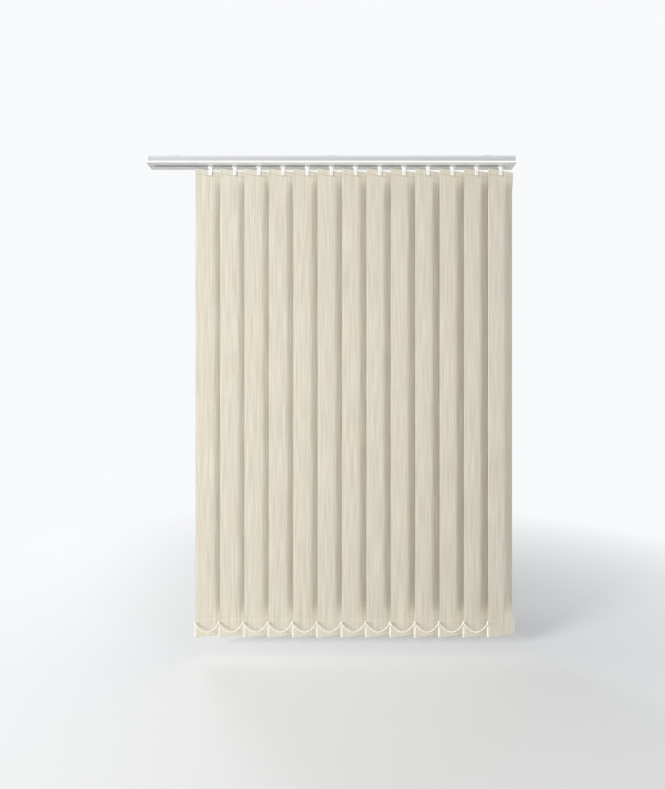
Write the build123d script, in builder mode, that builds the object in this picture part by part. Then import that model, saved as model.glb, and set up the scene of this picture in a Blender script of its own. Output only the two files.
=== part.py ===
from build123d import *
import math
import os

# Vertical blind. +X runs along the head rail, +Y points away from the room, +Z is up.
# The origin is the middle of the rail, on the face that the brackets are screwed to.
# All sizes are in millimetres.

# ---- driving dimensions: the set of vanes ----
vane_count = 13
vane_pitch = 75.0  # between neighbouring carriers when the blind is drawn right across
vane_width = 89.0
vane_drop = 1442.7  # top fold to bottom fold
fabric = 0.4
closed_angle = 16.0  # between a shut vane and the rail
vane_gap = 13.5  # rail's underside to the vane's top fold
top_hem = 17.3  # top fold to the stitched line under the hanger plate
bottom_hem = 57.7  # bottom fold to the stitched line over the weight
hem_fit = 0.15  # between cloth and the plate inside a hem

# ---- driving dimensions: head rail ----
end_inset = 41.3  # rail's end to the last carrier, on the stacking side
lead_room = 190.7  # bare rail beyond the lead carrier
rail_depth = 45.0
band_depth = 41.0  # across the set-back band
lip_depth = 44.0  # across the top lips
rail_height = 20.5
lip_height = 5.0
bulge_height = 5.0
rail_wall = 1.2
lip_flange = 4.0
slot_width = 8.0
rim_height = 1.5  # upturned edge each side of the slot
groove_depth = 0.5
groove_inset = 5.1  # from the rail's face to the groove in its underside
bulge_radius = 2.6  # lower edge
bulge_shoulder = 1.6  # upper edge
cap_thickness = 3.0
plug_length = 12.0  # of the idle end, inside the rail
drive_length = 26.0  # of the control end, inside the rail
plug_fit = 0.2

# ---- driving dimensions: brackets ----
hang_gap = 5.0  # fixing face to the rail's top
bracket_count = 3
bracket_inset = 86.0  # rail's end to the outer screw
bracket_length = 30.0
bracket_width = 30.0
bracket_steel = 1.2
foot_reach = 4.8
screw_hole = 4.5

# ---- driving dimensions: carriers, gears and tilt rod ----
carrier_length = 15.0
stack_gap = 1.0  # between carriers when the blind is stacked
truck_half_width = 14.7
truck_floor = 2.5
wheel_radius = 3.0
wheel_width = 3.2
stub_radius = 1.0
rod_radius = 3.0
flute_radius = 0.9
worm_radius = 4.3
worm_length = 12.0
journal_radius = 3.6
gear_radius = 5.0
gear_thickness = 5.0
gear_teeth = 12
tooth_depth = 0.8
mesh_gap = 0.3  # kept between tooth tips, so that still worms and gears stay clear
running_fit = 0.08
stem_radius = 2.5
link_thickness = 0.3
link_height = 5.0
link_step = 0.5  # sideways room that each link has beside the next one when stacked

# ---- driving dimensions: hangers, weights and chains ----
neck_width = 15.0
neck_shoulder = 2.0  # height of the neck's full width
neck_taper = 5.0  # height over which it narrows to the tongue
neck_clear = 1.0  # under the rail
tongue_width = 9.0
tongue_thickness = 1.0
front_tongue = 16.1  # below the bridge
rear_tongue = 11.5
nib_width = 5.0
nib_height = 2.5
nib_drop = 6.0  # top fold to the nib's top
plate_thickness = 0.8
weight_thickness = 2.0
weight_height = 50.0
weight_lift = 2.2  # bottom fold to the weight
ear = 4.0  # how far the weight stands out of each side of its hem
ring_radius = 2.4
ring_wire = 0.45
ring_drop = 2.2  # top of the weight to its chain ring
chain_diameter = 2.6
chain_stand_off = 0.15

# ---- driving dimensions: chain wheel in the control end ----
chain_wheel_radius = 6.0
chain_wheel_teeth = 18
rod_gear_radius = 4.0
rod_gear_teeth = 12
drive_gear_width = 3.4
bead_wheel_width = 5.0
wheel_pin_radius = 1.5
outlet_radius = 2.2
foot_width = 20.0  # of the control end, where it fills the rail's floor

# Points of one length of chain, from a ring to the next, as (share of the pitch, depth).
chain_route = [
    (0.00, 0.0),
    (0.085, 10.9),
    (0.20, 20.4),
    (0.345, 27.3),
    (0.50, 29.9),
    (0.655, 27.3),
    (0.80, 20.4),
    (0.915, 10.9),
    (1.00, 0.0),
]
chain_bend = 0.45  # share of a run that an arc may take

# ---- sizes that follow ----
rail_length = (vane_count - 1) * vane_pitch + end_inset + lead_room
rail_top = -hang_gap
rail_bottom = rail_top - rail_height
band_top = rail_top - lip_height
roof_top = band_top + rail_wall
bulge_top = rail_bottom + bulge_height
floor_top = rail_bottom + rail_wall
rail_start = -rail_length / 2 + cap_thickness
rail_end = rail_length / 2 - cap_thickness
last_x = rail_length / 2 - end_inset
carrier_x = [last_x - (vane_count - 1 - i) * vane_pitch for i in range(vane_count)]
stack_pitch = carrier_length + stack_gap

vane_top = rail_bottom - vane_gap
vane_bottom = vane_top - vane_drop
plate_hem = plate_thickness / 2 + hem_fit + fabric
weight_hem = weight_thickness / 2 + hem_fit + fabric
neck_top = rail_bottom - neck_clear
bridge_bottom = vane_top + 0.3
tongue_inside = plate_hem + 0.2
weight_bottom = vane_bottom + weight_lift
weight_top = weight_bottom + weight_height
ring_height = weight_top - ring_drop
ring_offset = vane_width / 2 + ear - 0.9  # vane's axis to the middle of a ring

wheel_height = floor_top + 0.1 + wheel_radius
rod_y = gear_radius + mesh_gap + worm_radius
rod_z = band_top - 0.4 - worm_radius
gear_bottom = rod_z - gear_thickness / 2
thrust_face = gear_bottom - running_fit
base_bottom = floor_top + rim_height + 0.3
worm_clear = worm_radius + 0.2
window_inside = gear_radius + 3.8
link_start = window_inside + 0.35 + link_thickness / 2
link_overlap = 11.0  # of a link past the middle of the carrier that it spans to
link_reach = vane_pitch + link_overlap
link_slope = link_step / stack_pitch
window_outside = link_start + link_thickness + (link_reach + carrier_length / 2) * link_slope
link_z = rod_z - 0.5

chain_wheel_z = rod_z - 2.5
chain_wheel_y = rod_y - math.sqrt(
    (chain_wheel_radius + rod_gear_radius + mesh_gap) ** 2 - (rod_z - chain_wheel_z) ** 2
)
drive_start = rail_end - drive_length
drive_room_start = drive_start + 8
drive_room_length = bead_wheel_width + drive_gear_width + 2.2
drive_gear_x = drive_room_start + bead_wheel_width + 1.2

os.makedirs("parts", exist_ok=True)


def save(part, name):
    """Labels a finished piece and writes it to its own file."""
    part.label = name
    export_step(part, f"parts/{name}.step")


def rail_face():
    """The rail's filled section below its top lips, as seen from its end."""
    with BuildSketch() as face:
        with BuildLine():
            Polyline(
                (-band_depth / 2, roof_top),
                (band_depth / 2, roof_top),
                (band_depth / 2, bulge_top),
                (rail_depth / 2, bulge_top),
                (rail_depth / 2, rail_bottom),
                (-rail_depth / 2, rail_bottom),
                (-rail_depth / 2, bulge_top),
                (-band_depth / 2, bulge_top),
                close=True,
            )
        make_face()
        outermost = face.vertices().filter_by(lambda v: abs(v.X) > rail_depth / 2 - 0.01)
        fillet(outermost.group_by(Axis.Y)[0], radius=bulge_radius)
        outermost = face.vertices().filter_by(lambda v: abs(v.X) > rail_depth / 2 - 0.01)
        fillet(outermost.group_by(Axis.Y)[-1], radius=bulge_shoulder)
    return face.sketch


def lip_face():
    """The top channel of the rail: a roof with a lip and an inward flange at each side."""
    with BuildSketch() as face:
        with Locations((0, (roof_top + band_top) / 2)):
            Rectangle(lip_depth, roof_top - band_top)
        with BuildLine():
            Polyline(
                (lip_depth / 2, roof_top),
                (lip_depth / 2, rail_top),
                (lip_depth / 2 - lip_flange, rail_top),
                (lip_depth / 2 - lip_flange, rail_top - rail_wall),
                (lip_depth / 2 - rail_wall, rail_top - rail_wall),
                (lip_depth / 2 - rail_wall, roof_top),
                close=True,
            )
        make_face()
        mirror(about=Plane.YZ)
    return face.sketch


# ---- head rail ----
with BuildPart() as head_rail:
    with BuildSketch(Plane.YZ.offset(rail_start)):
        add(rail_face())
        with BuildSketch(mode=Mode.SUBTRACT):
            add(rail_face())
            offset(amount=-rail_wall, kind=Kind.INTERSECTION)
        add(lip_face())
        for side in (-1, 1):
            with Locations((side * (slot_width + rail_wall) / 2, floor_top + rim_height / 2)):
                Rectangle(rail_wall, rim_height)
            with Locations((side * (rail_depth / 2 - groove_inset), rail_bottom)):
                Rectangle(2 * groove_depth, 2 * groove_depth, rotation=45, mode=Mode.SUBTRACT)
        with Locations((0, rail_bottom)):
            Rectangle(slot_width, 4 * rail_wall, mode=Mode.SUBTRACT)
    extrude(amount=rail_end - rail_start)
    # the control end's foot comes down flush through the floor
    with Locations((drive_start + drive_length / 2, 0, rail_bottom + 2)):
        Box(drive_length, foot_width, 8, mode=Mode.SUBTRACT)
save(head_rail.part, "head_rail")


# ---- brackets ----
bracket_span = rail_length - 2 * bracket_inset
bracket_xs = [-bracket_span / 2 + i * bracket_span / (bracket_count - 1) for i in range(bracket_count)]
foot_top = rail_top - rail_wall - 0.05
with BuildPart() as bracket:
    with BuildSketch(Plane.YZ.offset(-bracket_length / 2)):
        with BuildLine():
            Polyline(
                (0, 0),
                (bracket_width / 2, 0),
                (bracket_width / 2, foot_top),
                (bracket_width / 2 + foot_reach, foot_top),
                (bracket_width / 2 + foot_reach, foot_top - bracket_steel),
                (bracket_width / 2 - bracket_steel, foot_top - bracket_steel),
                (bracket_width / 2 - bracket_steel, -bracket_steel),
                (0, -bracket_steel),
                close=True,
            )
        make_face()
        mirror(about=Plane.YZ)
    extrude(amount=bracket_length)
    fillet(bracket.edges().filter_by(Axis.X).group_by(Axis.Z)[-1], radius=bracket_steel)
    with Locations((0, 0, 0)):
        Hole(screw_hole / 2)

with BuildPart() as mounting_brackets:
    with Locations(*[(x, 0, 0) for x in bracket_xs]):
        add(bracket.part)
save(mounting_brackets.part, "mounting_brackets")


# ---- idle end: cap, plug and the tilt rod's bearing ----
with BuildPart() as idle_end:
    with BuildSketch(Plane.YZ.offset(-rail_length / 2)):
        add(rail_face())
        add(lip_face())
        with Locations((0, (rail_top + roof_top) / 2)):
            Rectangle(lip_depth - 2 * rail_wall, rail_top - roof_top)
    extrude(amount=cap_thickness)
    with BuildSketch(Plane.YZ.offset(rail_start)):
        add(rail_face())
        offset(amount=-(rail_wall + plug_fit), kind=Kind.INTERSECTION, mode=Mode.REPLACE)
        with Locations((0, floor_top)):
            Rectangle(slot_width + 2 * rail_wall + 1, 2 * rim_height + 1, mode=Mode.SUBTRACT)
    extrude(amount=plug_length)
    with BuildSketch(Plane.YZ.offset(rail_start + plug_length)):
        with Locations((rod_y, rod_z)):
            Circle(rod_radius + running_fit)
    extrude(amount=-(plug_length - 2), mode=Mode.SUBTRACT)
save(idle_end.part, "idle_end")


# ---- control end: cap, gear housing, wheel pin and chain outlets ----
with BuildPart() as control_end:
    with BuildSketch(Plane.YZ.offset(rail_end)):
        add(rail_face())
        add(lip_face())
        with Locations((0, (rail_top + roof_top) / 2)):
            Rectangle(lip_depth - 2 * rail_wall, rail_top - roof_top)
    extrude(amount=cap_thickness)
    with BuildSketch(Plane.YZ.offset(drive_start + plug_fit)):
        add(rail_face())
        offset(amount=-(rail_wall + plug_fit), kind=Kind.INTERSECTION, mode=Mode.REPLACE)
        with Locations((0, (floor_top + rail_bottom) / 2 + 0.5)):
            Rectangle(foot_width - 2 * plug_fit, floor_top - rail_bottom + 1)
    extrude(amount=drive_length - plug_fit)
    with BuildSketch(Plane.YZ.offset(drive_room_start)):
        with Locations((chain_wheel_y, chain_wheel_z)):
            Circle(chain_wheel_radius + 0.5)
        with Locations((rod_y, rod_z)):
            Circle(rod_gear_radius + 0.5)
    extrude(amount=drive_room_length, mode=Mode.SUBTRACT)
    with BuildSketch(Plane.YZ.offset(drive_start)):
        with Locations((rod_y, rod_z)):
            Circle(rod_radius + running_fit)
    extrude(amount=drive_length - 3, mode=Mode.SUBTRACT)
    for side in (-1, 1):
        outlet_y = chain_wheel_y + side * (chain_wheel_radius - 0.5)
        outlet_x = drive_room_start + 0.6 + bead_wheel_width / 2
        with BuildSketch(Plane.XY.offset(rail_bottom)):
            with Locations((outlet_x, outlet_y)):
                Circle(outlet_radius)
        extrude(amount=chain_wheel_z - rail_bottom, mode=Mode.SUBTRACT)
    with BuildSketch(Plane.YZ.offset(drive_room_start - 1)):
        with Locations((chain_wheel_y, chain_wheel_z)):
            Circle(wheel_pin_radius)
    extrude(amount=drive_room_length + 2)
save(control_end.part, "control_end")


def toothed_disc(radius, teeth):
    """A gear's face: a root circle with square-topped teeth round it."""
    with BuildSketch() as face:
        Circle(radius - tooth_depth)
        with PolarLocations(radius - tooth_depth, teeth):
            Rectangle(2 * tooth_depth, math.pi * radius / teeth * 0.9)
        Circle(radius, mode=Mode.INTERSECT)
    return face.sketch


# ---- chain wheel: a gear beside a pulley with a pocket for each bead ----
with BuildPart() as chain_wheel:
    with BuildSketch(Plane.YZ.offset(drive_gear_x)):
        with Locations((chain_wheel_y, chain_wheel_z)):
            add(toothed_disc(chain_wheel_radius, chain_wheel_teeth))
    extrude(amount=drive_gear_width)
    with BuildSketch(Plane.YZ.offset(drive_gear_x)):
        with Locations((chain_wheel_y, chain_wheel_z)):
            Circle(chain_wheel_radius - 0.6)
            with PolarLocations(chain_wheel_radius, 11):
                Circle(1.3, mode=Mode.SUBTRACT)
    extrude(amount=-bead_wheel_width)
    with BuildSketch(Plane.YZ.offset(drive_gear_x - bead_wheel_width)):
        with Locations((chain_wheel_y, chain_wheel_z)):
            Circle(wheel_pin_radius + running_fit)
    extrude(amount=bead_wheel_width + drive_gear_width, mode=Mode.SUBTRACT)
save(chain_wheel.part, "chain_wheel")


# ---- tilt rod: fluted rod with the small gear that the chain wheel drives ----
rod_start = rail_start + 3
rod_end = rail_end - 4
with BuildPart() as tilt_rod:
    with BuildSketch(Plane.YZ.offset(rod_start)):
        with Locations((rod_y, rod_z)):
            Circle(rod_radius)
            with PolarLocations(rod_radius + 0.2, 3):
                Circle(flute_radius, mode=Mode.SUBTRACT)
    extrude(amount=rod_end - rod_start)
    with BuildSketch(Plane.YZ.offset(drive_gear_x)):
        with Locations((rod_y, rod_z)):
            add(toothed_disc(rod_gear_radius, rod_gear_teeth))
            Circle(rod_radius + 0.02, mode=Mode.SUBTRACT)
    extrude(amount=drive_gear_width)
save(tilt_rod.part, "tilt_rod")


# ---- carrier: truck, two wheels, worm, and the link to the carrier before it ----
window_height = link_height + 2
truck_top = rod_z + 4.1
block_half_width = gear_radius + 0.5
with BuildPart() as truck:
    with Locations((0, 0, base_bottom + truck_floor / 2)):
        Box(carrier_length, 2 * truck_half_width, truck_floor)
    with Locations((0, 0, (thrust_face + base_bottom) / 2)):
        Box(carrier_length, 2 * block_half_width, thrust_face - base_bottom)
    # front wall with the window that the links pass through
    wall_inside = window_inside - 1.5
    wall_outside = window_outside + 1.2
    wall_bottom = base_bottom + truck_floor
    with Locations((0, -(wall_inside + wall_outside) / 2, (truck_top + wall_bottom) / 2)):
        Box(carrier_length, wall_outside - wall_inside, truck_top - wall_bottom)
    with Locations((0, -(window_inside + window_outside) / 2, link_z)):
        Box(2 * carrier_length, window_outside - window_inside, window_height, mode=Mode.SUBTRACT)
    # cheeks that carry the worm
    with BuildSketch(Plane.YZ.offset(-carrier_length / 2)):
        with Locations((rod_y, (truck_top + rod_z - worm_clear - 0.9) / 2)):
            Rectangle(2 * worm_clear + 0.4, truck_top - rod_z + worm_clear + 0.9)
    extrude(amount=carrier_length)
    with BuildSketch(Plane.YZ.offset(-worm_length / 2 - 0.2)):
        with Locations((rod_y, rod_z)):
            Circle(worm_clear)
        with Locations((rod_y, rod_z + worm_clear)):
            Rectangle(2 * worm_clear, 2 * worm_clear)
        with Locations((0, rod_z + gear_thickness / 2)):
            Rectangle(2 * rod_y, gear_thickness + 2 * (gear_bottom - thrust_face) + gear_thickness)
    extrude(amount=worm_length + 0.4, mode=Mode.SUBTRACT)
    with BuildSketch(Plane.YZ.offset(-carrier_length)):
        with Locations((rod_y, rod_z)):
            Circle(journal_radius + running_fit)
    extrude(amount=2 * carrier_length, mode=Mode.SUBTRACT)
    # guide in the slot, and the bore for the hanger's stem
    with BuildSketch(Plane.XY.offset(base_bottom)):
        RectangleRounded(carrier_length, slot_width - 1, slot_width / 2 - 0.6)
    extrude(amount=-(base_bottom - rail_bottom + 0.4))
    with BuildSketch(Plane.XY.offset(rail_bottom - neck_clear)):
        Circle(stem_radius + running_fit)
    extrude(amount=rail_height, mode=Mode.SUBTRACT)
    # stub axles, each with a head outside its wheel
    for side in (-1, 1):
        with BuildSketch(Plane.XZ.offset(-side * truck_half_width)):
            with Locations((0, wheel_height)):
                Circle(stub_radius)
        extrude(amount=-side * (wheel_width + 0.6))
        with BuildSketch(Plane.XZ.offset(-side * (truck_half_width + wheel_width + 0.4))):
            with Locations((0, wheel_height)):
                Circle(stub_radius + 0.5)
        extrude(amount=-side * 0.5)

with BuildPart() as wheels:
    for side in (-1, 1):
        with BuildSketch(Plane.XZ.offset(-side * (truck_half_width + 0.2))):
            with Locations((0, wheel_height)):
                Circle(wheel_radius)
                Circle(stub_radius + running_fit, mode=Mode.SUBTRACT)
        extrude(amount=-side * wheel_width)

with BuildPart() as worm:
    with BuildSketch(Plane.XY) as worm_side:
        with Locations((0, worm_radius / 2)):
            Rectangle(worm_length, worm_radius)
        with GridLocations(worm_length / 5, 0, 5, 1):
            with Locations((0, worm_radius)):
                Rectangle(0.7 * tooth_depth * 2, 2 * tooth_depth, mode=Mode.SUBTRACT)
        with Locations((0, journal_radius / 2)):
            Rectangle(carrier_length, journal_radius)
        with Locations((0, (rod_radius + running_fit) / 2)):
            Rectangle(2 * carrier_length, rod_radius + running_fit, mode=Mode.SUBTRACT)
    revolve(axis=Axis.X)

# The link leans outwards by a step for each carrier, so stacked links lie side by side.
link_end = (-link_reach, -link_start - (link_reach + carrier_length / 2 - 2) * link_slope)
with BuildPart() as link:
    with BuildSketch(Plane.XY.offset(link_z - link_height / 2)):
        with BuildLine():
            Polyline(
                (carrier_length / 2 - 2, -link_start + link_thickness / 2),
                (carrier_length / 2 - 2, -link_start - link_thickness / 2),
                (link_end[0], link_end[1] - link_thickness / 2),
                (link_end[0], link_end[1] + link_thickness / 2),
                close=True,
            )
        make_face()
    extrude(amount=link_height)
    with BuildSketch(Plane.XZ.offset(window_inside)):
        with Locations((carrier_length / 2 - 4, link_z)):
            Circle(1)
    extrude(amount=link_start - window_inside)


# ---- hanger: gear, stem, neck and forked tongue, with the plate in the vane's top hem ----
nib_top = vane_top - nib_drop
plate_bottom = vane_top - top_hem + 1.8
with BuildPart() as hanger_hook:
    with BuildSketch(Plane.XY.offset(gear_bottom)):
        add(toothed_disc(gear_radius, gear_teeth))
    extrude(amount=gear_thickness)
    with BuildSketch(Plane.XY.offset(gear_bottom)):
        Circle(stem_radius)
    extrude(amount=-(gear_bottom - neck_top))
    # neck: full width under the slot, then narrowing to the tongue
    with BuildSketch(Plane.XZ.offset(-(tongue_inside + tongue_thickness))) as neck_side:
        with BuildLine():
            Polyline(
                (-neck_width / 2, neck_top),
                (neck_width / 2, neck_top),
                (neck_width / 2, neck_top - neck_shoulder),
                (tongue_width / 2, neck_top - neck_shoulder - neck_taper),
                (tongue_width / 2, bridge_bottom),
                (-tongue_width / 2, bridge_bottom),
                (-tongue_width / 2, neck_top - neck_shoulder - neck_taper),
                (-neck_width / 2, neck_top - neck_shoulder),
                close=True,
            )
        make_face()
        fillet(neck_side.vertices().group_by(Axis.Y)[-1], radius=1.5)
        fillet(neck_side.vertices().group_by(Axis.Y)[1:-1], radius=1.5)
    extrude(amount=2 * (tongue_inside + tongue_thickness))
    for side, reach in ((-1, front_tongue), (1, rear_tongue)):
        with BuildSketch(Plane.XZ.offset(-side * tongue_inside)):
            with Locations((0, bridge_bottom - reach / 2 + 0.5)):
                Rectangle(tongue_width, reach + 1)
        extrude(amount=-side * tongue_thickness)
    tips = hanger_hook.edges().filter_by(Axis.Y).filter_by(lambda e: e.center().Z < bridge_bottom - 9)
    fillet(tips, radius=2.5)
    with Locations((0, 0.1, nib_top - nib_height / 2)):
        Box(nib_width, 2 * tongue_inside - 0.2, nib_height)

with BuildPart() as hanger_plate:
    with Locations((0, 0, (vane_top - fabric - 0.6 + plate_bottom) / 2)):
        Box(vane_width - 5, plate_thickness, vane_top - fabric - 0.6 - plate_bottom)
    fillet(hanger_plate.edges().filter_by(Axis.Y), radius=2)
    with Locations((0, 0, nib_top + 0.1 - (nib_height + 1) / 2)):
        Box(nib_width + 1, 2 * plate_thickness, nib_height + 1, mode=Mode.SUBTRACT)


def hem(outside, inside, fold, seam):
    """Half of a hem's section with its pocket: cloth from the fold to the stitched line."""
    way = 1 if seam > fold else -1
    with BuildSketch() as face:
        with BuildLine():
            Polyline(
                (0, fold),
                (outside * 0.6, fold),
                (outside, fold + way * 1.2),
                (outside, seam - way * 1.5),
                (fabric / 2, seam),
                (0, seam),
                close=True,
            )
        make_face()
        mirror(about=Plane.YZ)
        with BuildLine():
            Polyline(
                (0, fold + way * fabric),
                (inside * 0.6, fold + way * fabric),
                (inside, fold + way * (fabric + 0.9)),
                (inside, seam - way * 1.5),
                (0, seam - way * 1.2),
                close=True,
            )
        pocket = make_face(mode=Mode.PRIVATE)
        add(pocket, mode=Mode.SUBTRACT)
        add(pocket.mirror(Plane.YZ), mode=Mode.SUBTRACT)
    return face.sketch


# ---- vane: one length of cloth with a hem at each end ----
with BuildPart() as vane_blank:
    with BuildSketch(Plane.YZ.offset(-vane_width / 2)):
        add(hem(plate_hem, plate_hem - fabric, vane_top, vane_top - top_hem))
        add(hem(weight_hem, weight_hem - fabric, vane_bottom, vane_bottom + bottom_hem))
        with Locations((0, (vane_top - top_hem + vane_bottom + bottom_hem) / 2)):
            Rectangle(fabric, vane_drop - top_hem - bottom_hem + 0.2)
    extrude(amount=vane_width)
    with Locations((0, 0, nib_top + 0.4 - (nib_height + 1.6) / 2)):
        Box(nib_width + 2, 4 * plate_hem, nib_height + 1.6, mode=Mode.SUBTRACT)


# ---- weight: plate in the bottom hem, with an ear and a chain ring at each side ----
with BuildPart() as weight_plate:
    with Locations((0, 0, (weight_top + weight_bottom) / 2)):
        Box(vane_width + 2 * ear, weight_thickness, weight_height)
    fillet(weight_plate.edges().filter_by(Axis.Y), radius=1.5)
    with Locations(*[(side * (ring_offset - ring_radius), 0, ring_height) for side in (-1, 1)]):
        Box(2 * ring_wire + 0.7, 2 * weight_thickness, 2 * ring_wire + 0.7, mode=Mode.SUBTRACT)

with BuildPart() as chain_rings:
    with Locations(*[(side * ring_offset, 0, ring_height) for side in (-1, 1)]):
        Torus(ring_radius, ring_wire)


def turned(x):
    """Where a vane's pieces go: on the axis of the carrier at x, at the closed angle."""
    return Location((x, 0, 0), (0, 0, closed_angle))


for i, x in enumerate(carrier_x):
    number = f"{i + 1:02d}"
    with BuildPart() as carrier:
        with Locations((x, 0, 0)):
            add(truck.part)
            add(wheels.part)
        with Locations((x, rod_y, rod_z)):
            add(worm.part)
        if i > 0:
            with Locations((x, 0, 0)):
                add(link.part)
    save(carrier.part, f"carrier_{number}")

    with BuildPart() as hanger:
        with Locations(turned(x)):
            add(hanger_hook.part)
            add(hanger_plate.part)
    save(hanger.part, f"hanger_{number}")

    with BuildPart() as vane:
        with Locations(turned(x)):
            add(vane_blank.part)
    save(vane.part, f"vane_{number}")

    with BuildPart() as weight:
        with Locations(turned(x)):
            add(weight_plate.part)
            add(chain_rings.part)
    save(weight.part, f"weight_{number}")


# ---- chains: one length from each ring to the next, at the front and at the back ----
chain_off_axis = ring_radius + ring_wire + chain_stand_off + chain_diameter / 2


def chain_length(x, side):
    """One length of chain, hanging from the ring of the vane at x to the next ring."""
    angle = math.radians(closed_angle)
    start_x = x + side * ring_offset * math.cos(angle)
    start_y = side * (ring_offset * math.sin(angle) + chain_off_axis)
    route = [(start_x + share * vane_pitch, start_y, ring_height - depth) for share, depth in chain_route]
    steps = [Vector(*b) - Vector(*a) for a, b in zip(route, route[1:])]
    radii = []
    for before, after in zip(steps, steps[1:]):
        half_turn = math.radians(before.get_angle(after) / 2)
        radii.append(chain_bend * min(before.length, after.length) / math.tan(half_turn))
    with BuildPart() as tube:
        with BuildLine() as path:
            FilletPolyline(*route, radius=radii)
        with BuildSketch(Plane(origin=route[0], z_dir=path.wire() % 0)):
            Circle(chain_diameter / 2)
        sweep()
    return tube.part, path.wire().length, min(radii)


for name, side in (("chain_front", -1), ("chain_rear", 1)):
    lengths = [chain_length(x, side) for x in carrier_x[:-1]]
    with BuildPart() as chain:
        for tube, run, bend in lengths:
            add(tube)
    save(chain.part, name)
    print(name, "length of each stretch", round(lengths[0][1], 2), "tightest bend", round(lengths[0][2], 2))
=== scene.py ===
"""Vertical blind: hemmed cloth vanes, bead chains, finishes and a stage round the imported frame.

Run as a script. Every piece is in metres, in the frame's axes: +X along the head rail, +Y towards
the window and +Z up, with the origin on the face that the brackets are screwed to.
"""

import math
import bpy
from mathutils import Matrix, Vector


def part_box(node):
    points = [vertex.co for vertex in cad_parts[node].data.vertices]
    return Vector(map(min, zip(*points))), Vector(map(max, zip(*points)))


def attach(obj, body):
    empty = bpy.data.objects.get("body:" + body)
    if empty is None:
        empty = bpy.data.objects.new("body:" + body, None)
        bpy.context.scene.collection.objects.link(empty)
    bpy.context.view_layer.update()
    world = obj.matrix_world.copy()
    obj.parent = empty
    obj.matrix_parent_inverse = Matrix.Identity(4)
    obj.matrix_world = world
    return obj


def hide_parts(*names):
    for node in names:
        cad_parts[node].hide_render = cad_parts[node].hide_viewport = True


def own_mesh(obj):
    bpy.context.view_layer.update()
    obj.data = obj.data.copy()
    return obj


bl_info = {
    "name": "Vertical blind",
    "version": (1, 0, 0),
    "blender": (4, 5, 0),
    "location": "3D View > Sidebar > Blind",
    "description": "Makes the cloth, chains, finishes and stage of a vertical blind",
    "category": "Object",
}

import bpy
import numpy as np
from bpy.props import FloatProperty, FloatVectorProperty, IntProperty, PointerProperty
from mathutils import Vector

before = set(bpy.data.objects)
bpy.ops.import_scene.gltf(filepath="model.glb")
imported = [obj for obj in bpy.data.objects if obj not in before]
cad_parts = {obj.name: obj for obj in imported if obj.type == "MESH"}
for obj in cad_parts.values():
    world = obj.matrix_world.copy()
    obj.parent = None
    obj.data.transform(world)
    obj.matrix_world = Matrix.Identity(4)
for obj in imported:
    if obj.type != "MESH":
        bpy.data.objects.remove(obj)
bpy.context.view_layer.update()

VANES = sorted(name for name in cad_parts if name.startswith("vane_"))
MM = 0.001

# Where a chain hangs between two rings: the control points' shares of the pitch and their depths.
CHAIN_SHARES = np.array([0.0, 0.085, 0.20, 0.345, 0.50, 0.655, 0.80, 0.915, 1.0])
CHAIN_DEPTHS = np.array([0.0, 10.9, 20.4, 27.3, 29.9, 27.3, 20.4, 10.9, 0.0]) * MM

# The roll of a vane's window side, in shares of its half width from its middle.
ROLL_START, ROLL_EASE = 0.08, 0.45
FREE_RAMP = 45 * MM  # past a hem, over which the cloth comes free of its flat pocket
LEAN_WAVE = 0.9  # height over which the lean of a vane's edges repeats
NIB_HALF = 3.5 * MM  # half the width of the hole that a hanger's nib goes through
NIB_HOLE = (9.7 * MM, 5.6 * MM)  # top fold to the hole's lower and upper edges

CAMERA_PLACE = (0.0027, -1.378, -0.787)
CAMERA_SHIFT = 0.022  # upwards, in sensor widths
FLOOR_REACH = 30.0  # half a side of the floor


def linear(red, green, blue):
    """Scene-linear colour of a screen colour given from 0 to 255."""
    share = np.array([red, green, blue]) / 255
    curve = np.where(share <= 0.04045, share / 12.92, ((share + 0.055) / 1.055) ** 2.4)
    return tuple(float(part) for part in curve)


def length(name, text, default):
    """A property that is a length in metres."""
    return FloatProperty(name=name, description=text, default=default, unit="LENGTH", precision=5)


def colour(name, text, default):
    """A property that is a scene-linear colour."""
    return FloatVectorProperty(
        name=name, description=text, default=default, size=3, subtype="COLOR", min=0, max=1
    )


def power(name, text, default):
    """A property that is a light's power in watts."""
    return FloatProperty(name=name, description=text, default=default, min=0, unit="POWER")


class ClothSettings(bpy.types.PropertyGroup):
    """Sizes and colours of the vanes' cloth"""

    width: length("Vane width", "Cut width of a vane's cloth", 89 * MM)
    thickness: length("Cloth thickness", "Thickness of one layer of cloth", 0.4 * MM)
    angle: FloatProperty(
        name="Closed angle",
        description="Turn of a shut vane out of line with the rail",
        default=math.radians(16),
        subtype="ANGLE",
    )
    top_hem: length("Top hem", "Top fold to the line that closes the hanger pocket", 17.3 * MM)
    bottom_hem: length(
        "Bottom hem", "Bottom fold to the line that closes the weight pocket", 57.7 * MM
    )
    top_half: length(
        "Hanger pocket", "Cloth's middle to the vane's middle at the hanger plate", 0.75 * MM
    )
    bottom_half: length(
        "Weight pocket", "Cloth's middle to the vane's middle at the weight", 1.35 * MM
    )
    bow: length(
        "Bow", "How far the middle of the cloth stands towards the room of its edges", 0.4 * MM
    )
    roll: length("Edge roll", "How far the window side edge of the cloth rolls back", 5.0 * MM)
    pale: colour("Pale yarn", "Colour of the crests of the cloth's ribs", linear(241, 235, 219))
    deep: colour("Deep yarn", "Colour of the cloth between its ribs", linear(196, 189, 171))
    seam: colour("Seam", "Colour of the stitched lines", linear(158, 143, 112))


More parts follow.
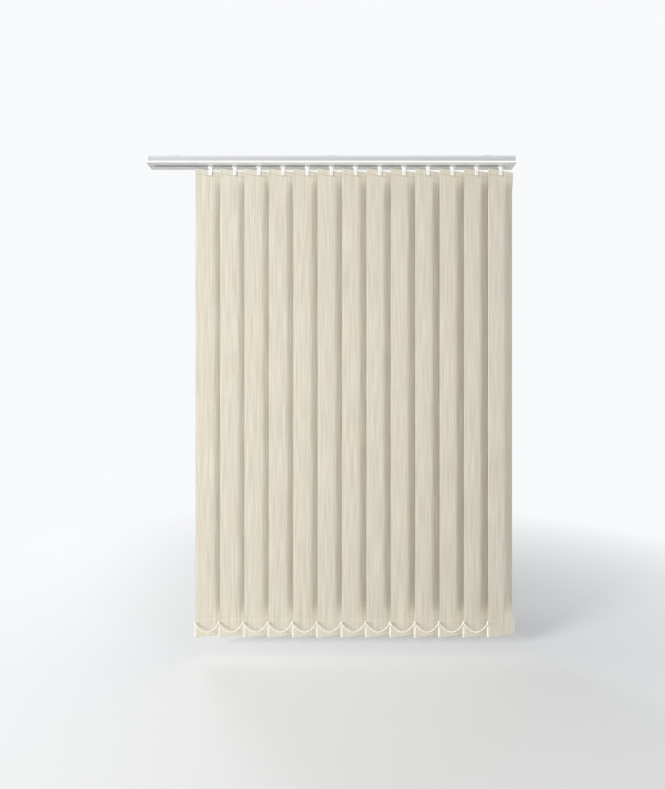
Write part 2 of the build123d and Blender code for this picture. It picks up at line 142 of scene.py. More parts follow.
class ChainSettings(bpy.types.PropertyGroup):
    """Sizes and colour of the bottom chains"""

    bead: length("Bead", "Diameter of a bead", 2.6 * MM)
    spacing: length("Bead spacing", "Middle of one bead to the middle of the next", 3.3 * MM)
    thread: length("Thread", "Diameter of the thread between beads", 1.1 * MM)
    ring_reach: length("Ring reach", "A vane's axis to the middle of a chain ring", 47.6 * MM)
    stand_off: length(
        "Stand-off", "Middle of a ring to the chain's line, away from the vane", 4.3 * MM
    )
    ring_drop: length("Ring drop", "Top of a weight to the middle of its rings", 2.2 * MM)
    stacked: length(
        "Stacked pitch", "Between neighbouring carriers when the blind is drawn back", 16 * MM
    )
    tint: colour("Chain", "Colour of the chains", linear(244, 240, 226))


class FittingSettings(bpy.types.PropertyGroup):
    """Colours of the rail, plastics and metals"""

    enamel: colour("Rail enamel", "Colour of the rail's lower edge", linear(247, 247, 247))
    # Painted shade: the top lip faces are given a greyer colour than the white enamel, for the
    # shade they lie in.
    painted_shade_lips: colour("Rail lips", "Colour of the lips along the rail's top", linear(196, 197, 199))
    # Painted shade: the set-back strip between the top lip faces and the lower edge is given a
    # still greyer colour, for the shade in its recess.
    painted_shade_band: colour(
        "Rail band", "Colour of the set-back band on the rail's sides", linear(180, 181, 183)
    )
    plastic: colour("White plastic", "Colour of the hangers and end pieces", linear(246, 246, 244))
    weight: colour("Weight plastic", "Colour of the weights and rings", linear(242, 241, 236))
    acetal: colour("Carrier plastic", "Colour of the carriers' trucks", linear(222, 222, 216))
    wheel: colour("Wheel nylon", "Colour of the carriers' wheels", linear(238, 236, 226))
    worm: colour("Gear plastic", "Colour of the worms and gears", linear(214, 214, 208))
    link: colour("Link strip", "Colour of the links between carriers", linear(204, 205, 206))
    steel: colour("Steel", "Colour of the brackets", linear(176, 179, 182))
    aluminium: colour("Aluminium", "Colour of the tilt rod", linear(196, 198, 201))


class StageSettings(bpy.types.PropertyGroup):
    """Floor, lights and camera"""

    floor_drop: length("Floor drop", "Gap from the vanes' bottom folds to the floor", 45 * MM)
    floor: colour("Floor", "Colour of the floor", linear(236, 237, 238))
    sky: colour("Surroundings", "Colour of the light from all round", linear(246, 247, 249))
    sky_strength: FloatProperty(
        name="Surrounding light",
        description="Strength of the light from all round",
        default=0.37,
        min=0,
    )
    backdrop: FloatProperty(
        name="Backdrop",
        description="Brightness of what is seen behind the object",
        default=1.02,
        min=0,
    )
    key: power("Key light", "Power of the main light", 790)
    fill: power("Fill light", "Power of the side light", 6)
    back: power("Back light", "Power of the light from the window side", 60)
    bounce: power("Bounce light", "Power of the light that shines up from the floor", 12)
    lens: FloatProperty(
        name="Focal length", description="Focal length of the camera in mm", default=20.28, min=1
    )
    floor_cells: IntProperty(
        name="Floor cells", description="Cells along each side of the floor", default=8, min=1
    )
    near: length("Solid floor", "Distance from the object at which the floor starts to fade", 0.5)
    far: length("Floor's end", "Distance from the object at which the floor has faded away", 2.3)


# ---------------------------------------------------------------- surfaces


def ease(share):
    """Zero below 0, one above 1 and the smooth cubic three x squared less two x cubed between."""
    x = np.clip(share, 0, 1)
    return x * x * (3 - 2 * x)


def running(points):
    """Distance along a line from its start to each of its points."""
    steps = np.linalg.norm(np.diff(points, axis=0), axis=1)
    return np.concatenate([[0], np.cumsum(steps)])


def grid_cells(rows, columns):
    """Corner numbers of each cell of a grid of points, going round the cell."""
    index = np.arange(rows * columns).reshape(rows, columns)
    return np.stack([index[:-1, :-1], index[:-1, 1:], index[1:, 1:], index[1:, :-1]], axis=-1)


def middle_x(node):
    """Middle of a frame node along the rail."""
    low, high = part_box(node)
    return (low.x + high.x) / 2


def solid(name, points, faces, uv=None, sharp=50):
    """A mesh object from arrays of points and faces, smooth but for edges sharper than an angle
    in degrees."""
    mesh = bpy.data.meshes.new(name)
    mesh.from_pydata(points.tolist(), [], [row for part in faces for row in part.tolist()])
    mesh.update()
    if uv is not None:
        corners = np.empty(len(mesh.loops), np.int32)
        mesh.loops.foreach_get("vertex_index", corners)
        layer = mesh.uv_layers.new(name="weave")
        layer.uv.foreach_set("vector", uv[corners].astype(np.float32).ravel())
    mesh.shade_smooth()
    mesh.set_sharp_from_angle(angle=math.radians(sharp))
    piece = bpy.data.objects.new(name, mesh)
    bpy.context.scene.collection.objects.link(piece)
    return piece


def shell(middle, thickness, keep):
    """A closed skin round a sheet. The sheet's middle is a grid of points. Each side stands off it
    by half the thickness, along the cross product of the grid's two directions. A wall closes every
    edge of the cells that are kept, round the sheet and round its holes."""
    across, along = np.gradient(middle, axis=1), np.gradient(middle, axis=0)
    normal = np.cross(across, along)
    normal /= np.linalg.norm(normal, axis=2, keepdims=True)
    skins = [middle + side * normal * thickness / 2 for side in (1, -1)]
    points = np.concatenate([skin.reshape(-1, 3) for skin in skins])
    rows, columns = middle.shape[:2]
    count = rows * columns
    cells = grid_cells(rows, columns)
    faces = [cells[keep], cells[keep][:, ::-1] + count]
    beside = np.pad(keep, 1)
    for corner, (down, right) in enumerate(((-1, 0), (0, 1), (1, 0), (0, -1))):
        neighbour = beside[1 + down : rows + down, 1 + right : columns + right]
        rim = cells[keep & ~neighbour]
        first, second = rim[:, corner], rim[:, (corner + 1) % 4]
        faces.append(np.stack([second, first, first + count, second + count], axis=-1))
    return points, faces


def vane_section(cloth, top, bottom):
    """Middle line of a vane's cloth as rows of (sideways, height). It runs from the end of the rear
    top flap, over the top fold, down the front, round the bottom fold and up to the end of the rear
    bottom flap. A pocket's side eases from the seam to the pocket's half thickness, and each fold
    is half a circle of that radius. The heights between which the hanger's nib has its hole come
    with it."""
    skin, lap, tail, ramp = cloth.thickness / 2, 1.05 * cloth.thickness, 2.5 * MM, 4 * MM
    top_seam, bottom_seam = top - cloth.top_hem, bottom + cloth.bottom_hem
    high, low = cloth.top_half, cloth.bottom_half
    top_turn, bottom_turn = top - skin - high, bottom + skin + low

    hole = top - np.array(NIB_HOLE)
    rise = np.union1d(np.linspace(top_seam, top_turn, 16), hole)
    flap = np.concatenate([[top_seam - tail, top_seam - tail / 2], rise])
    fall = rise[::-1]
    near = top_seam - np.geomspace(1, 100, 12) * MM
    far = (bottom_seam + np.geomspace(1, 100, 12) * MM)[::-1]
    panel = np.concatenate([near, np.linspace(near[-1], far[0], 46)[1:-1], far])
    drop = np.linspace(bottom_seam, bottom_turn, 22)
    climb = np.concatenate([drop[::-1], [bottom_seam + tail / 2, bottom_seam + tail]])
    turn = np.linspace(0, math.pi, 9)[1:-1]

    parts = [
        (lap + (high - lap) * ease((flap - top_seam) / ramp), flap),
        (high * np.cos(turn), top_turn + high * np.sin(turn)),
        (-high * ease((fall - top_seam) / ramp), fall),
        (0 * panel, panel),
        (-low * ease((bottom_seam - drop) / ramp), drop),
        (-low * np.cos(turn), bottom_turn - low * np.sin(turn)),
        (lap + (low - lap) * ease((bottom_seam - climb) / ramp), climb),
    ]
    return np.concatenate([np.stack(part, axis=-1) for part in parts]), hole


def hanging_cloth(cloth, axis_x, top, bottom, variation):
    """One vane as a closed skin with its pocket hems, turned about its axis. Its section is carried
    across the width. Between the hems the cloth bows towards the room as one less the square of its
    share of the half width. Its window side rolls back with a slope that eases in as three x
    squared less two x cubed, so the roll itself is x cubed less half x to the fourth, and then the
    slope holds to the edge. The edges lean a little, as a sine of the height."""
    section, hole = vane_section(cloth, top, bottom)
    half = cloth.width / 2
    across = np.union1d(np.linspace(-half, half, 35), np.array([-NIB_HALF, NIB_HALF]))
    u, sideways = np.meshgrid(across, section[:, 0])
    height = np.repeat(section[:, 1:], len(across), axis=1)
    below, above = top - cloth.top_hem - height, height - bottom - cloth.bottom_hem
    free = ease(below / FREE_RAMP) * ease(above / FREE_RAMP)
    bow, roll, lean, phase = variation
    share = u / half
    sideways = sideways - free * cloth.bow * bow * (1 - share**2)
    held = ROLL_START + ROLL_EASE
    bend = np.clip((share - ROLL_START) / ROLL_EASE, 0, 1)
    bend = ROLL_EASE * (bend**3 - bend**4 / 2) + np.clip(share - held, 0, None)
    sideways += free * cloth.roll * roll * bend / (ROLL_EASE / 2 + 1 - held)
    sideways += free * lean * share * np.sin(2 * math.pi * (height / LEAN_WAVE + phase))
    cos, sin = math.cos(cloth.angle), math.sin(cloth.angle)
    x, y = axis_x + u * cos - sideways * sin, u * sin + sideways * cos
    middle = np.stack([x, y, height], axis=-1)

    centre_u = (across[1:] + across[:-1]) / 2
    centre_z = (section[1:, 1] + section[:-1, 1]) / 2
    inside = (centre_z > hole[0]) & (centre_z < hole[1])
    keep = ~(inside[:, None] & (np.abs(centre_u) < NIB_HALF)[None, :])
    points, faces = shell(middle, cloth.thickness, keep)
    run = running(section)
    down = np.repeat(run[:, None] / run[-1], len(across), axis=1)
    uv = np.stack([(share + 1) / 2, down], axis=-1)
    return points, faces, np.concatenate([uv.reshape(-1, 2)] * 2), float(run[-1])


def spline_line(route):
    """Points along the smooth line that a list of points controls: a NURBS spline of order
    three."""
    curve = bpy.data.curves.new("route", "CURVE")
    curve.dimensions = "3D"
    spline = curve.splines.new("NURBS")
    spline.points.add(len(route) - 1)
    spline.points.foreach_set("co", np.column_stack([route, np.ones(len(route))]).ravel())
    spline.order_u = 3
    spline.use_endpoint_u = True
    spline.resolution_u = 16
    carrier = bpy.data.objects.new("route", curve)
    line = bpy.data.meshes.new_from_object(carrier)
    points = np.empty(len(line.vertices) * 3)
    line.vertices.foreach_get("co", points)
    bpy.data.objects.remove(carrier)
    bpy.data.curves.remove(curve)
    bpy.data.meshes.remove(line)
    return points.reshape(-1, 3)


def bead_string(line, chain, sides=10):
    """A string of beads along a line in an upright plane. Rings of points stand square to the line.
    Their radius is the larger of the thread's and the root of the bead's radius squared less the
    square of the distance from its middle. A point closes each end."""
    run = running(line)
    beads = round(run[-1] / chain.spacing)
    pitch = run[-1] / beads
    at = np.linspace(0, run[-1], beads * 8 + 1)
    spine = np.stack([np.interp(at, run, line[:, i]) for i in range(3)], axis=-1)
    forward = np.gradient(spine, axis=0)
    forward /= np.linalg.norm(forward, axis=1, keepdims=True)
    side = np.array([0.0, 1.0, 0.0])
    up = np.cross(forward, side)
    off = (at % pitch) - pitch / 2
    round_part = np.sqrt(np.clip((chain.bead / 2) ** 2 - off**2, 0, None))
    radius = np.maximum(chain.thread / 2, round_part)
    turn = np.arange(sides) * 2 * math.pi / sides
    ring = np.cos(turn)[None, :, None] * side + np.sin(turn)[None, :, None] * up[:, None, :]
    points = (spine[:, None, :] + radius[:, None, None] * ring).reshape(-1, 3)
    index = np.arange(len(points)).reshape(-1, sides)
    beyond = np.roll(index, -1, axis=1)
    body = np.stack([index[:-1], index[1:], beyond[1:], beyond[:-1]], axis=-1).reshape(-1, 4)
    count = len(points)
    start = np.stack([np.full(sides, count), index[0], beyond[0]], axis=-1)
    end = np.stack([np.full(sides, count + 1), beyond[-1], index[-1]], axis=-1)
    points = np.concatenate([points, spine[:1], spine[-1:]])
    share = np.repeat(at / run[-1], sides)
    uv = np.stack([np.tile(turn / (2 * math.pi), len(at)), share], axis=-1)
    return points, [body, start, end], np.concatenate([uv, [[0, 0], [0, 1]]]), beads


# ---------------------------------------------------------------- finishes

# A Mix node's sockets for colours, by number: its share, its two ends and its result.
MIX_SHARE, MIX_FIRST, MIX_SECOND, MIX_RESULT = 0, 6, 7, 2


class Reading:
    """A number or a vector inside a material. Python's operators on it add Math nodes."""

    def __init__(self, finish, socket):
        self.finish, self.socket = finish, socket

    def maths(self, operation, *values, clamp=False):
        """A Math node of that operation on these values, in order."""
        settings = {"operation": operation, "use_clamp": clamp}
        return self.finish.node("Math", settings, dict(enumerate(values)))

    def __add__(self, other):
        return self.maths("ADD", self, other)

    def __radd__(self, other):
        return self.maths("ADD", other, self)

    def __sub__(self, other):
        return self.maths("SUBTRACT", self, other)

    def __rsub__(self, other):
        return self.maths("SUBTRACT", other, self)

    def __mul__(self, other):
        return self.maths("MULTIPLY", self, other)

    def __rmul__(self, other):
        return self.maths("MULTIPLY", other, self)

    def __gt__(self, other):
        return self.maths("GREATER_THAN", self, other)

    def __lt__(self, other):
        return self.maths("LESS_THAN", self, other)

    def __abs__(self):
        return self.maths("ABSOLUTE", self)

    def sine(self):
        """Sine of a number in radians."""
        return self.maths("SINE", self)

    def root(self):
        """Square root of a number."""
        return self.maths("SQRT", self)

    def repeat(self):
        """What is left of a number after its whole part."""
        return self.maths("FRACT", self)

    def to(self, low, high):
        """The number taken from between two values to 0 to 1, held there."""
        return self.maths("DIVIDE", self - low, high - low, clamp=True)


class Finish:
    """A material in the making: one Principled shader, and any other node by its type."""

    def __init__(self, name, **constants):
        self.material = bpy.data.materials.new(name)
        self.material.use_nodes = True
        self.tree = self.material.node_tree
        self.shader = self.tree.nodes["Principled BSDF"]
        for socket, value in constants.items():
            self.shader.inputs[socket.replace("_", " ")].default_value = value

    def node(self, kind, settings, inputs, output=0):
        """A node of that type, its settings made first, then its sockets given values or links."""
        made = self.tree.nodes.new("ShaderNode" + kind)
        for name, value in settings.items():
            setattr(made, name, value)
        for name, value in inputs.items():
            self.put(made.inputs[name], value)
        return Reading(self, made.outputs[output])

    def put(self, socket, value):
        """Links a reading to a socket, or sets the socket's own value."""
        if isinstance(value, Reading):
            self.tree.links.new(value.socket, socket)
        else:
            socket.default_value = value

    def feed(self, **sockets):
        """Gives the shader's sockets their readings."""
        for name, value in sockets.items():
            self.put(self.shader.inputs[name.replace("_", " ")], value)
        return self

    def place(self):
        """The point's own coordinates, in metres."""
        return self.node("TexCoord", {}, {}, "Object")

    def parts(self, point):
        """A point's three coordinates as separate numbers."""
        made = self.node("SeparateXYZ", {}, {0: point}).socket.node
        return [Reading(self, part) for part in made.outputs]

    def weave(self):
        """The cloth's or chain's own map, as two numbers."""
        return self.parts(self.node("UVMap", {"uv_map": "weave"}, {}))[:2]

    def point(self, x, y, z=0.0):
        """A point from three numbers."""
        return self.node("CombineXYZ", {}, {0: x, 1: y, 2: z})

    def noise(self, point, scale, detail=2.0, roughness=0.5):
        """Fractal noise, from 0 to 1, of features about one over the scale in size."""
        values = {"Vector": point, "Scale": scale, "Detail": detail, "Roughness": roughness}
        return self.node("TexNoise", {}, values)

    def mix(self, share, first, second):
        """A colour from the first to the second by a share."""
        ends = {MIX_SHARE: share, MIX_FIRST: self.solid(first), MIX_SECOND: self.solid(second)}
        return self.node("Mix", {"data_type": "RGBA"}, ends, MIX_RESULT)

    def tint(self, base, cast):
        """A colour multiplied by another."""
        settings = {"data_type": "RGBA", "blend_type": "MULTIPLY"}
        ends = {MIX_SHARE: 1.0, MIX_FIRST: self.solid(base), MIX_SECOND: self.solid(cast)}
        return self.node("Mix", settings, ends, MIX_RESULT)

    def shade(self, base, value):
        """A colour darkened by a number, with 1 leaving it as it is."""
        return self.tint(base, self.node("CombineColor", {}, {0: value, 1: value, 2: value}))

    def bump(self, height, distance, strength):
        """Small relief from a height of 0 to 1 over a distance in metres."""
        self.put(
            self.shader.inputs["Normal"],
            self.node("Bump", {}, {"Height": height, "Distance": distance, "Strength": strength}),
        )
        return self

    @staticmethod
    def solid(value):
        """A colour with its alpha, or a reading as it is."""
        return value if isinstance(value, Reading) else (*value[:3], 1.0)


def cloth_finish(cloth, run, top, bottom):
    """Ribbed cloth. Uneven warp ribs and fine yarns run down it, and short slubs and weft lines
    cross them. Faint streaks of warmer and cooler yarn lie over both. Stitches cross it at the two
    seams."""
    finish = Finish("vane_cloth", Sheen_Weight=0.08, Sheen_Roughness=0.5, Specular_IOR_Level=0.2)
    yarn_pitch, weft_pitch, stitch_length = 1.7 * MM, 1.5 * MM, 2.6 * MM
    x, _, z = finish.parts(finish.place())
    share, along = finish.weave()
    down = along * run
    ribs = finish.noise(finish.point(x, down * 0.03), 230.0, 1.5).to(0.3, 0.7)
    wander = finish.noise(finish.point(x, down * 0.02), 60.0) - 0.5
    yarns = (x * (2 * math.pi / yarn_pitch) + wander * 9.0).sine() * 0.5 + 0.5
    slubs = finish.noise(finish.point(x * 0.8, down * 0.8), 380.0, 2.0, 0.6).to(0.3, 0.7)
    weft = (down * (2 * math.pi / weft_pitch) + wander * 5.0).sine() * 0.5 + 0.5
    broad = finish.noise(finish.point(x, down * 0.35), 14.0)
    pale = ribs * 0.42 + yarns * 0.06 + slubs * 0.4 + weft * 0.04 + broad * 0.08
    hue = finish.noise(finish.point(x, down * 0.12, 0.3), 42.0, 1.0).to(0.35, 0.65)
    cast = finish.mix(hue, (1.0, 0.985, 0.97), (0.985, 1.0, 0.99))
    weave = finish.tint(finish.mix(pale, cloth.deep, cloth.pale), cast)
    upper = abs(z - (top - cloth.top_hem)) < 0.55 * MM
    lower = abs(z - (bottom + cloth.bottom_hem)) < 0.5 * MM
    stitch = ((share * (cloth.width / stitch_length)).repeat() > 0.16) * (upper + lower * 0.5)
    base = finish.mix(stitch * 0.55, weave, cloth.seam)
    finish.feed(Base_Color=base, Roughness=0.92 - pale * 0.12)
    relief = ribs * 0.35 + yarns * 0.25 + weft * 0.1 + slubs * 0.3 - stitch * 0.8
    return finish.bump(relief, 0.22 * MM, 0.5).material


def enamel_finish(fitting, band_low, band_high, band_side):
    """Powder coat with a faint orange peel. Painted shade: the top lip faces are greyer than the
    white lower edge, and the set-back strip between them is greyer still, its painted shade
    lightening towards its top."""
    finish = Finish("rail_enamel", Coat_Weight=0.25, Coat_Roughness=0.2, Specular_IOR_Level=0.5)
    point = finish.place()
    x, y, z = finish.parts(point)
    peel = finish.noise(point, 900.0, 2.0)
    cloud = finish.noise(finish.point(x * 0.2, y, z), 60.0, 3.0)
    # Painted shade: the set-back strip is given its greyer colour, ramped lighter towards its top,
    # times a random cloud.
    painted_shade_band_mask = (z > band_low) * (z < band_high) * (abs(y) > band_side)
    painted_shade_ramp_and_cloud = (z.to(band_low, band_high) * 0.16 + 0.9) * (cloud * 0.05 + 0.975)
    # Painted shade: the faces above the set-back strip take the greyer top lip colour.
    edges = finish.mix(z > band_high, fitting.enamel, fitting.painted_shade_lips)
    edges = finish.shade(edges, cloud * 0.04 + 0.97)
    base = finish.mix(painted_shade_band_mask, edges, finish.shade(fitting.painted_shade_band, painted_shade_ramp_and_cloud))
    finish.feed(Base_Color=base, Roughness=peel * 0.12 + cloud * 0.1 + 0.26)
    return finish.bump(peel, 0.05 * MM, 0.3).material


def plastic_finish(name, tint, roughness, grain, warm=0.03, **constants):
    """Moulded plastic: a fine spark-eroded grain, faint flow clouds and a little dust in the
    grain."""
    finish = Finish(name, Specular_IOR_Level=0.5, **constants)
    point = finish.place()
    x, y, z = finish.parts(point)
    flow = finish.noise(finish.point(x, y, z * 0.4), 45.0, 3.0)
    fine = finish.noise(point, grain, 2.0, 0.6)
    base = finish.mix(flow.to(0.3, 0.75), finish.shade(tint, 0.96 - warm + fine * warm), tint)
    finish.feed(Base_Color=base, Roughness=roughness + flow * 0.1 + fine * 0.08)
    return finish.bump(fine, 0.04 * MM, 0.35).material


def metal_finish(name, tint, drawn, roughness):
    """Rolled or drawn metal: fine lines along X, cloudy brightness, and a few dull spots."""
    finish = Finish(name, Metallic=1.0, Specular_IOR_Level=0.5)
    point = finish.place()
    x, y, z = finish.parts(point)
    lines = finish.noise(finish.point(x * (0.02 if drawn else 0.4), y, z), 1500.0, 3.0, 0.65)
    cloud = finish.noise(point, 120.0, 3.0)
    spots = finish.noise(point, 420.0, 1.0).to(0.62, 0.74)
    base = finish.shade(tint, 0.86 + lines * 0.12 + cloud * 0.1 - spots * 0.08)
    finish.feed(Base_Color=base, Roughness=roughness + lines * 0.16 + cloud * 0.08 + spots * 0.15)
    return finish.bump(lines, 0.02 * MM, 0.4).material


def chain_finish(chain, beads):
    """Cream moulded beads: darker at the thread between beads, and a faint seam line round each."""
    finish = Finish("bead_plastic", Coat_Weight=0.3, Coat_Roughness=0.15, Specular_IOR_Level=0.5)
    point = finish.place()
    turn, along = finish.weave()
    gap = abs((along * beads).repeat() - 0.5).to(0.33, 0.48)
    fine = finish.noise(point, 900.0, 2.0)
    flash = (abs(turn - 0.5) < 0.02) * 0.3
    beaded = finish.shade(chain.tint, 1.0 - gap * 0.22)
    base = finish.shade(beaded, 0.98 + fine * 0.04 - flash * 0.1)
    finish.feed(Base_Color=base, Roughness=0.3 + fine * 0.12 + gap * 0.25)
    return finish.bump(fine, 0.03 * MM, 0.3).material


def dress(node, *materials):
    """Gives a frame node its materials, in slots."""
    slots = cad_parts[node].data.materials
    slots.clear()
    for material in materials:
        slots.append(material)


def sort_faces(node, *masks):
    """Gives a frame node's faces to its later slots by where their middles are. Each mask is a
    function of x, y and z, and a later mask wins."""
    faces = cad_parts[node].data.polygons
    middles = np.empty(len(faces) * 3)
    faces.foreach_get("center", middles)
    x, y, z = middles.reshape(-1, 3).T
    chosen = np.zeros(len(faces), np.int32)
    for number, mask in enumerate(masks, 1):
        chosen[mask(x, y, z)] = number
    faces.foreach_set("material_index", chosen)


# ---------------------------------------------------------------- operators


class BLIND_OT_vanes(bpy.types.Operator):
    """Hang the cloth vanes, each cut from one strip with a pocket hem at each end"""

    bl_idname = "blind.vanes"
    bl_label = "Cloth vanes"

    def execute(self, context):
        cloth = context.scene.blind_cloth
        chance = np.random.default_rng(41)
        material = None
        for node in VANES:
            low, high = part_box(node)
            louvre = node.replace("vane", "louvre")
            variation = (
                chance.uniform(0.94, 1.06),
                chance.uniform(0.985, 1.015),
                chance.uniform(-0.07, 0.07) * MM,
                chance.uniform(0, 1),
            )
            points, faces, uv, run = hanging_cloth(cloth, middle_x(node), high.z, low.z, variation)
            if material is None:
                material = cloth_finish(cloth, run, high.z, low.z)
            piece = solid(node.replace("vane", "vane_cloth"), points, faces, uv)
            piece.data.materials.append(material)
            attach(piece, louvre)
            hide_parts(node)
        return {"FINISHED"}


class BLIND_OT_chains(bpy.types.Operator):
    """String the bead chains from ring to ring, along the front and back of the vanes' weights"""

    bl_idname = "blind.chains"
    bl_label = "Bottom chains"

    def execute(self, context):
        chain, cloth = context.scene.blind_chain, context.scene.blind_cloth
        middles = [middle_x(node) for node in VANES]
        pitch = middles[1] - middles[0]
        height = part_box("weight_01")[1].z - chain.ring_drop
        material = None
        for name, side in (("chain_front", -1), ("chain_rear", 1)):
            reach = side * chain.ring_reach * math.cos(cloth.angle)
            y = side * (chain.ring_reach * math.sin(cloth.angle) + chain.stand_off)
            for number, middle in enumerate(middles[:-1], 1):
                x = middle + reach + CHAIN_SHARES * pitch
                route = np.stack([x, np.full(len(x), y), height - CHAIN_DEPTHS], axis=-1)
                line = spline_line(route)
                points, faces, uv, beads = bead_string(line, chain)
                material = material or chain_finish(chain, beads)
                piece = solid(f"{name}_{number:02d}", points, faces, uv, sharp=75)
                piece.data.materials.append(material)
                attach(piece, name)
                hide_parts(name)
                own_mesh(piece)
        return {"FINISHED"}


class BLIND_OT_rail(bpy.types.Operator):
    """Finish the enamelled head rail, its end pieces and its brackets"""

    bl_idname = "blind.rail"
    bl_label = "Rail and brackets"

    def execute(self, context):
        fitting = context.scene.blind_fitting
        low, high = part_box("head_rail")
        lip = bulge = 5 * MM
        set_back = 20.2 * MM
        enamel = enamel_finish(fitting, low.z + bulge, high.z - lip, set_back)
        caps = plastic_finish("cap_plastic", fitting.plastic, 0.3, 650.0, Coat_Weight=0.1)
        bare = metal_finish("sawn_aluminium", fitting.aluminium, False, 0.34)
        dress("head_rail", enamel, bare)
        end = 0.01 * MM
        sort_faces("head_rail", lambda x, y, z: (x < low.x + end) | (x > high.x - end))
        for node in ("control_end", "idle_end"):
            dress(node, caps)
        dress("mounting_brackets", metal_finish("zinc_plated_steel", fitting.steel, False, 0.3))
        return {"FINISHED"}


class BLIND_OT_runners(bpy.types.Operator):
    """Finish what runs in the rail: carriers, links, tilt rod and chain wheel"""

    bl_idname = "blind.runners"
    bl_label = "Carriers and tilt gear"

    def execute(self, context):
        fitting = context.scene.blind_fitting
        low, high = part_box("tilt_rod")
        rod_y, rod_z = (low.y + high.y) / 2, (low.z + high.z) / 2
        truck = plastic_finish("carrier_acetal", fitting.acetal, 0.34, 800.0)
        wheel = plastic_finish("wheel_nylon", fitting.wheel, 0.28, 950.0)
        worm = plastic_finish("worm_acetal", fitting.worm, 0.22, 900.0)
        worm_reach, rod_reach = 4.45 * MM, 3.02 * MM
        wheel_near, wheel_far = 14.85 * MM, 18.15 * MM
        link_near, link_far, link_half = -9.0 * MM, -12.3 * MM, 2.6 * MM
        link_z = rod_z - 0.5 * MM
        link = metal_finish("link_strip", fitting.link, True, 0.24)
        for node in sorted(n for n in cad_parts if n.startswith("carrier_")):
            dress(node, truck, wheel, worm, link)
            sort_faces(
                node,
                lambda x, y, z: (abs(y) > wheel_near) & (abs(y) < wheel_far),
                lambda x, y, z: (y - rod_y) ** 2 + (z - rod_z) ** 2 < worm_reach**2,
                lambda x, y, z: (y < link_near) & (y > link_far) & (abs(z - link_z) < link_half),
            )
        dress("tilt_rod", metal_finish("rod_aluminium", fitting.aluminium, True, 0.26), worm)
        sort_faces("tilt_rod", lambda x, y, z: (y - rod_y) ** 2 + (z - rod_z) ** 2 > rod_reach**2)
        dress("chain_wheel", worm)
        return {"FINISHED"}


class BLIND_OT_hangers(bpy.types.Operator):
    """Finish the hangers and the hem weights with their chain rings"""

    bl_idname = "blind.hangers"
    bl_label = "Hangers and weights"

    def execute(self, context):
        fitting = context.scene.blind_fitting
        depth = {"Subsurface_Weight": 0.1, "Subsurface_Scale": 2 * MM}
        hanger = plastic_finish(
            "hanger_plastic", fitting.plastic, 0.24, 600.0, 0.02, Coat_Weight=0.15, **depth
        )
        weight = plastic_finish("weight_plastic", fitting.weight, 0.36, 500.0, 0.04)
        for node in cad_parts:
            if node.startswith("hanger_"):
                dress(node, hanger)
            if node.startswith("weight_"):
                dress(node, weight)
        return {"FINISHED"}


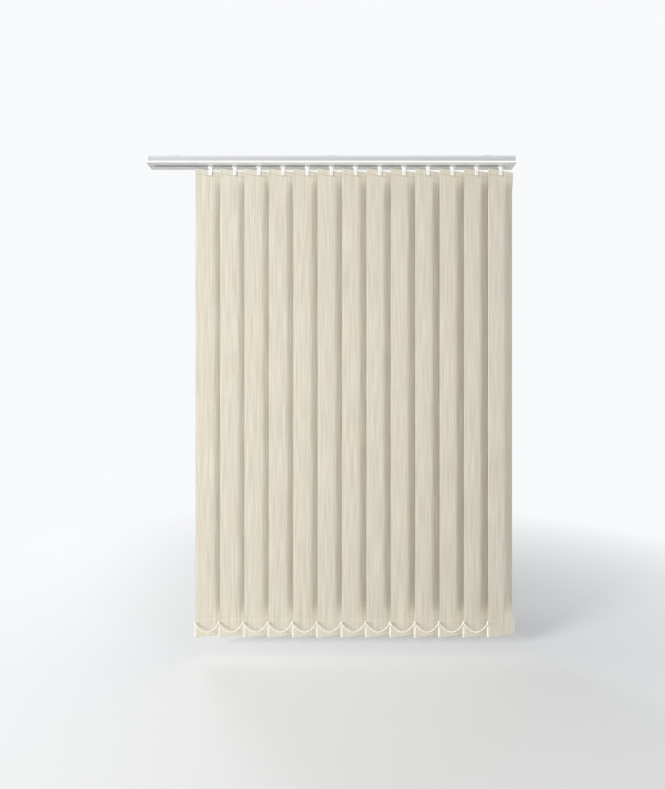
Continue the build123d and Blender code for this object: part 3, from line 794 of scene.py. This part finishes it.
class BLIND_OT_stage(bpy.types.Operator):
    """Set up the pale floor, the soft lights and the camera"""

    bl_idname = "blind.stage"
    bl_label = "Stage"

    def execute(self, context):
        stage = context.scene.blind_stage
        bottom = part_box(VANES[0])[0].z - stage.floor_drop
        count = stage.floor_cells + 1
        side = np.linspace(-FLOOR_REACH, FLOOR_REACH, count)
        x, y = np.meshgrid(side, side)
        points = np.stack([x, y, np.full(x.shape, bottom)], axis=-1).reshape(-1, 3)
        floor = solid("floor", points, [grid_cells(count, count).reshape(-1, 4)])
        finish = Finish("floor_paint", Specular_IOR_Level=0.3)
        point = finish.place()
        x, y, _ = finish.parts(point)
        cloud = finish.noise(point, 0.8, 3.0)
        distance = (x * x + y * y).root()
        finish.feed(
            Base_Color=finish.shade(stage.floor, 0.97 + cloud * 0.05),
            Roughness=0.55 + cloud * 0.1,
            Alpha=1 - distance.to(stage.near, stage.far),
        )
        floor.data.materials.append(finish.material)

        world = bpy.data.worlds.new("studio")
        world.use_nodes = True
        around = world.node_tree.nodes["Background"]
        around.inputs["Color"].default_value = (*stage.sky, 1)
        rays = world.node_tree.nodes.new("ShaderNodeLightPath")
        level = world.node_tree.nodes.new("ShaderNodeMapRange")
        level.inputs["To Min"].default_value = stage.sky_strength
        level.inputs["To Max"].default_value = stage.backdrop
        world.node_tree.links.new(rays.outputs["Is Camera Ray"], level.inputs["Value"])
        world.node_tree.links.new(level.outputs["Result"], around.inputs["Strength"])
        context.scene.world = world

        for name, place, aim, size, watts in (
            ("key", (-5.94, -3.86, 0.7), (0.0, 0, -0.75), 2.6, stage.key),
            ("fill", (2.2, -1.8, -0.2), (0.1, 0, -0.75), 1.2, stage.fill),
            ("back", (-3.0, 4.0, 0.4), (0.0, 0, -0.75), 2.0, stage.back),
            ("bounce", (0.1, -1.7, bottom + 0.15), (0.1, -1.7, 1), 0.9, stage.bounce),
        ):
            lamp = bpy.data.lights.new(name, "AREA")
            lamp.shape, lamp.size, lamp.energy = "DISK", size, watts
            light = bpy.data.objects.new(name, lamp)
            light.location = place
            light.rotation_euler = (Vector(aim) - Vector(place)).to_track_quat("-Z", "Y").to_euler()
            light.visible_camera = False
            context.scene.collection.objects.link(light)

        context.scene.view_settings.view_transform = "Standard"
        lens = bpy.data.cameras.new("camera")
        lens.lens, lens.sensor_width, lens.sensor_fit = stage.lens, 36, "AUTO"
        lens.shift_y = CAMERA_SHIFT
        camera = bpy.data.objects.new("camera", lens)
        camera.location = CAMERA_PLACE
        camera.rotation_euler = (math.pi / 2, 0, 0)
        context.scene.collection.objects.link(camera)
        context.scene.camera = camera
        return {"FINISHED"}


class BLIND_PT_sidebar(bpy.types.Panel):
    """Sizes, colours and steps of the vertical blind"""

    bl_idname = "BLIND_PT_sidebar"
    bl_label = "Vertical blind"
    bl_space_type = "VIEW_3D"
    bl_region_type = "UI"
    bl_category = "Blind"

    def draw(self, context):
        for group in (
            context.scene.blind_cloth,
            context.scene.blind_chain,
            context.scene.blind_fitting,
            context.scene.blind_stage,
        ):
            box = self.layout.box()
            for name in group.__annotations__:
                box.prop(group, name)
        for step in OPERATORS:
            self.layout.operator(step.bl_idname)


SETTINGS = {
    "blind_cloth": ClothSettings,
    "blind_chain": ChainSettings,
    "blind_fitting": FittingSettings,
    "blind_stage": StageSettings,
}
OPERATORS = (
    BLIND_OT_vanes,
    BLIND_OT_chains,
    BLIND_OT_rail,
    BLIND_OT_runners,
    BLIND_OT_hangers,
    BLIND_OT_stage,
)


def register():
    for group in (*SETTINGS.values(), *OPERATORS, BLIND_PT_sidebar):
        bpy.utils.register_class(group)
    for name, group in SETTINGS.items():
        setattr(bpy.types.Scene, name, PointerProperty(type=group))


def unregister():
    for name in SETTINGS:
        delattr(bpy.types.Scene, name)
    for group in reversed((*SETTINGS.values(), *OPERATORS, BLIND_PT_sidebar)):
        bpy.utils.unregister_class(group)


def main():
    register()
    bpy.ops.blind.vanes()
    bpy.ops.blind.chains()
    bpy.ops.blind.rail()
    bpy.ops.blind.runners()
    bpy.ops.blind.hangers()
    bpy.ops.blind.stage()


if __name__ == "__main__":
    main()
